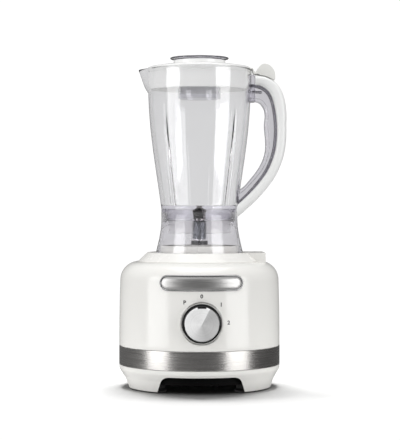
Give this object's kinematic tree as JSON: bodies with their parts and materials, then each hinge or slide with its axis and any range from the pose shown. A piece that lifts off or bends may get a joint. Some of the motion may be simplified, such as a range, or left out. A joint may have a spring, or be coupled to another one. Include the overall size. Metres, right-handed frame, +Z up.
{
  "type": "countertop blender",
  "caption": "Countertop blender: round motor base with a speed knob and a clear lift-off jar with handle, spout, lid and measuring cap.",
  "frame": {"origin": "on the drive axis, at the surface the rubber feet stand on", "axes": "+Z up along the drive axis, -Y to the knob at the front, +X to the handle"},
  "size_m": [0.2006, 0.2055, 0.395],
  "materials": {
    "white_gloss": "polished moulded plastic",
    "plinth_white": "polished moulded plastic",
    "collar_white": "satin moulded plastic",
    "band_steel": "brushed along the band",
    "pan_black": "satin moulded plastic",
    "foot_rubber": "matt rubber",
    "badge_bezel": "dark polished plating",
    "badge_metal": "satin plating",
    "screw_steel": "zinc plated",
    "switch_plastic": "moulded",
    "gland_rubber": "matt rubber",
    "board_green": "lacquered board",
    "core_steel": "stacked sheet steel",
    "copper": "varnished copper",
    "bracket_cast": "die cast",
    "bearing_steel": "ground",
    "brush_carbon": "pressed carbon",
    "plunger_nylon": "natural nylon",
    "seat_rubber": "matt rubber",
    "knob_black": "gloss moulded plastic",
    "knob_metal": "spun, with a polished edge",
    "fan_black": "moulded",
    "dog_steel": "machined",
    "dog_nylon": "moulded nylon",
    "jar_clear": "clear moulded plastic",
    "skirt_clear": "clear moulded plastic",
    "handle_clear": "clear moulded plastic",
    "handle_white": "polished moulded plastic",
    "seal_silicone": "translucent silicone",
    "bush_brass": "sintered bronze",
    "blade_steel": "ground stainless",
    "lid_white": "satin moulded plastic",
    "tab_white": "satin moulded plastic",
    "cap_clear": "clear moulded plastic"
  },
  "bodies": {
    "base": {"base_housing": "white_gloss", "trim_band": "band_steel", "plinth": "plinth_white", "base_pan": "pan_black", "rubber_feet": "foot_rubber", "base_screws": "screw_steel", "lock_collar": "collar_white", "badge_frame": "badge_bezel", "badge_plate": "badge_metal", "rotary_switch": "switch_plastic", "cord_gland": "gland_rubber", "speed_board": "board_green", "stator_core": "core_steel", "field_coils": "copper", "upper_bracket": "bracket_cast", "lower_bracket": "bracket_cast", "upper_bearing": "bearing_steel", "lower_bearing": "bearing_steel", "motor_bushes": "gland_rubber", "motor_screws": "screw_steel", "brush_holders": "switch_plastic", "carbon_brushes": "brush_carbon", "interlock_switch": "switch_plastic", "plunger_spring": "bearing_steel"},
    "seat": {"seat_ring": "seat_rubber"},
    "knob": {"knob_body": "knob_black", "knob_cap": "knob_metal", "knob_pointer": "knob_black", "switch_spindle": "bearing_steel"},
    "rotor": {"motor_shaft": "bearing_steel", "armature_core": "core_steel", "armature_windings": "copper", "commutator": "copper", "cooling_fan": "fan_black", "drive_dog": "dog_steel"},
    "plunger": {"interlock_plunger": "plunger_nylon"},
    "jar": {"goblet": "jar_clear", "handle_frame": "handle_clear", "handle_cover": "handle_white", "handle_screws": "screw_steel", "jar_skirt": "skirt_clear", "blade_carrier": "skirt_clear", "carrier_seal": "seal_silicone", "blade_bush": "bush_brass", "shaft_seal": "seat_rubber"},
    "blades": {"blade_shaft": "bearing_steel", "blade_spacer": "blade_steel", "lower_blade": "blade_steel", "upper_blade": "blade_steel", "blade_nut": "blade_steel", "shaft_clip": "bearing_steel", "coupling_nut": "fan_black", "driven_dog": "dog_nylon"},
    "lid": {"lid": "lid_white", "lid_gasket": "seal_silicone", "lid_lock_tab": "tab_white"},
    "cap": {"measuring_cap": "cap_clear"}
  },
  "joints": [
    {"name": "knob_turn", "type": "hinge", "parent": "base", "child": "knob", "pos_m": [0, -0.1, 0.0825], "axis": [0, 1, 0], "range_deg": [-40, 90]},
    {"name": "rotor_spin", "type": "hinge", "parent": "base", "child": "rotor", "pos_m": [0, 0, 0.08], "axis": [0, 0, 1], "continuous": true},
    {"name": "interlock_press", "type": "slide", "parent": "base", "child": "plunger", "axis": [0, 0, -1], "range_m": [0, 0.0025], "stiffness_N_per_m": 150, "springref_m": -0.002, "deforming": ["plunger_spring"]},
    {"name": "jar_turn", "type": "hinge", "parent": "base", "child": "seat", "pos_m": [0, 0, 0.154], "axis": [0, 0, 1], "range_deg": [0, 28]},
    {"name": "jar_lift", "type": "slide", "parent": "seat", "child": "jar", "axis": [0, 0, 1], "range_m": [0, 0.05]},
    {"name": "blade_spin", "type": "hinge", "parent": "jar", "child": "blades", "pos_m": [0, 0, 0.19], "axis": [0, 0, 1], "continuous": true},
    {"name": "lid_lift", "type": "slide", "parent": "jar", "child": "lid", "axis": [0, 0, 1], "range_m": [0, 0.06]},
    {"name": "cap_lift", "type": "slide", "parent": "lid", "child": "cap", "axis": [0, 0, 1], "range_m": [0, 0.06]}
  ],
  "couplings": [
    {"joint": "blade_spin", "follows": "rotor_spin", "ratio": 1}
  ]
}
